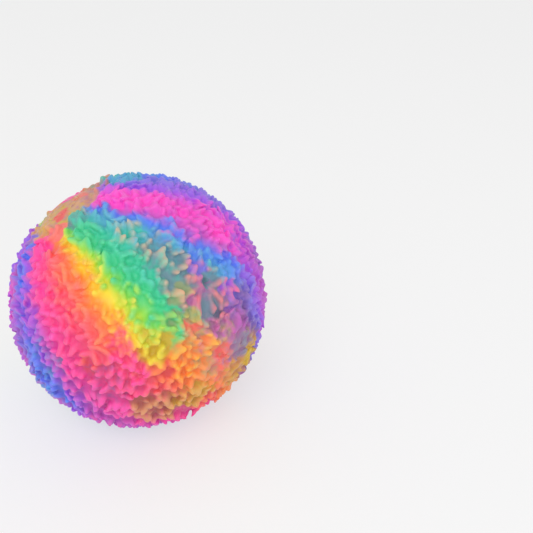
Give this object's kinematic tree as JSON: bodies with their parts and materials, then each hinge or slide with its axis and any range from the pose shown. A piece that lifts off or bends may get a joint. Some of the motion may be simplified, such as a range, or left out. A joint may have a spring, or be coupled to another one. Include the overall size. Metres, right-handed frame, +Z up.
{
  "type": "sensory ball",
  "caption": "Soft squeeze ball with a hollow skin moulded with upright ridges all over, a soft filling, and a cemented filler plug in a smooth patch.",
  "frame": {"origin": "centre of the flat foot that the soft ball rests on", "axes": "+Z up through the ball's centre, -X towards the filler hole, -Y towards the viewer of the picture"},
  "size_m": [0.0902, 0.09, 0.0854],
  "materials": {
    "dyed_skin": "soft satin-matte moulded rubber, sprayed in bands of bright dye",
    "dough": "dull, tacky dough",
    "plug_rubber": "satin moulded rubber under a film of mixed dye",
    "cement": "set, slightly glossy cement under a film of mixed dye"
  },
  "bodies": {
    "root": {"ridged_skin": "dyed_skin", "soft_filling": "dough", "filler_plug": "plug_rubber", "plug_cement": "cement"}
  },
  "joints": []
}
